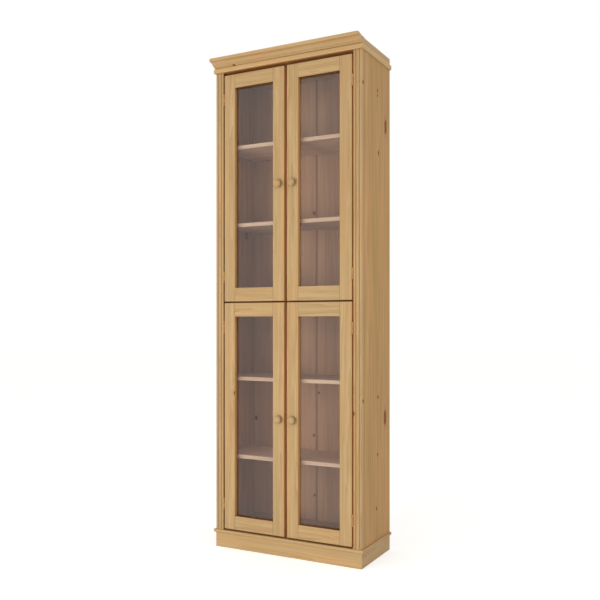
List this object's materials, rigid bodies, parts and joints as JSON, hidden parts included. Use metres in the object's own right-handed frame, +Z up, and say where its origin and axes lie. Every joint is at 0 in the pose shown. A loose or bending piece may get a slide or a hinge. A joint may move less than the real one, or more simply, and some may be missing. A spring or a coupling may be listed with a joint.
{
  "type": "display cabinet",
  "caption": "Tall free-standing pine display cabinet with framed glass doors over and under, loose shelves, reeded pilasters, crown moulding and plinth.",
  "frame": {"origin": "middle of the footprint on the floor, the crown moulding's reach included", "axes": "+X to the right seen from the front, +Y from the doors to the back, +Z up"},
  "size_m": [0.732, 0.366, 2.195],
  "materials": {
    "carcass_wood": "clear lacquered pine",
    "door_wood": "clear lacquered pine",
    "shelf_wood": "clear lacquered pine",
    "back_wood": "clear lacquered pine",
    "knob_wood": "turned pine, clear lacquered",
    "dowel_wood": "plain beech",
    "glass": "clear, faintly tinted",
    "hinge_metal": "aged",
    "support_metal": "zinc plated",
    "catch_plastic": "brown"
  },
  "bodies": {
    "carcass": {"back_joint_strip": "back_wood", "back_panel_left": "back_wood", "back_panel_right": "back_wood", "bottom_panel": "carcass_wood", "carcass_dowels": "dowel_wood", "cornice_beads": "carcass_wood", "cornice_rail": "carcass_wood", "crown_front": "carcass_wood", "crown_sides": "carcass_wood", "door_catches": "catch_plastic", "hinge_frame_leaves": "hinge_metal", "hinge_pins": "hinge_metal", "middle_shelf": "carcass_wood", "pilaster_left": "carcass_wood", "pilaster_right": "carcass_wood", "plinth_front": "carcass_wood", "plinth_left": "carcass_wood", "plinth_rear": "carcass_wood", "plinth_right": "carcass_wood", "shelf_lower_bottom": "shelf_wood", "shelf_lower_top": "shelf_wood", "shelf_pins": "support_metal", "shelf_upper_bottom": "shelf_wood", "shelf_upper_top": "shelf_wood", "side_panel_left": "carcass_wood", "side_panel_right": "carcass_wood", "top_panel": "carcass_wood", "top_rail": "carcass_wood"},
    "door_lower_left": {"door_lower_left_bottom_rail": "door_wood", "door_lower_left_fittings": "hinge_metal", "door_lower_left_glass": "glass", "door_lower_left_glazing_beads": "door_wood", "door_lower_left_knob": "knob_wood", "door_lower_left_meeting_stile": "door_wood", "door_lower_left_outer_stile": "door_wood", "door_lower_left_top_rail": "door_wood"},
    "door_lower_right": {"door_lower_right_bottom_rail": "door_wood", "door_lower_right_fittings": "hinge_metal", "door_lower_right_glass": "glass", "door_lower_right_glazing_beads": "door_wood", "door_lower_right_knob": "knob_wood", "door_lower_right_meeting_stile": "door_wood", "door_lower_right_outer_stile": "door_wood", "door_lower_right_top_rail": "door_wood"},
    "door_upper_left": {"door_upper_left_bottom_rail": "door_wood", "door_upper_left_fittings": "hinge_metal", "door_upper_left_glass": "glass", "door_upper_left_glazing_beads": "door_wood", "door_upper_left_knob": "knob_wood", "door_upper_left_meeting_stile": "door_wood", "door_upper_left_outer_stile": "door_wood", "door_upper_left_top_rail": "door_wood"},
    "door_upper_right": {"door_upper_right_bottom_rail": "door_wood", "door_upper_right_fittings": "hinge_metal", "door_upper_right_glass": "glass", "door_upper_right_glazing_beads": "door_wood", "door_upper_right_knob": "knob_wood", "door_upper_right_meeting_stile": "door_wood", "door_upper_right_outer_stile": "door_wood", "door_upper_right_top_rail": "door_wood"}
  },
  "joints": [
    {"name": "lower_left_hinge", "type": "hinge", "parent": "carcass", "child": "door_lower_left", "pos_m": [-0.3157, -0.1335, 0.6], "axis": [0, 0, -1], "range_deg": [0, 160]},
    {"name": "lower_right_hinge", "type": "hinge", "parent": "carcass", "child": "door_lower_right", "pos_m": [0.3157, -0.1335, 0.6], "axis": [0, 0, 1], "range_deg": [0, 160]},
    {"name": "upper_left_hinge", "type": "hinge", "parent": "carcass", "child": "door_upper_left", "pos_m": [-0.3157, -0.1335, 1.6], "axis": [0, 0, -1], "range_deg": [0, 160]},
    {"name": "upper_right_hinge", "type": "hinge", "parent": "carcass", "child": "door_upper_right", "pos_m": [0.3157, -0.1335, 1.6], "axis": [0, 0, 1], "range_deg": [0, 160]}
  ]
}
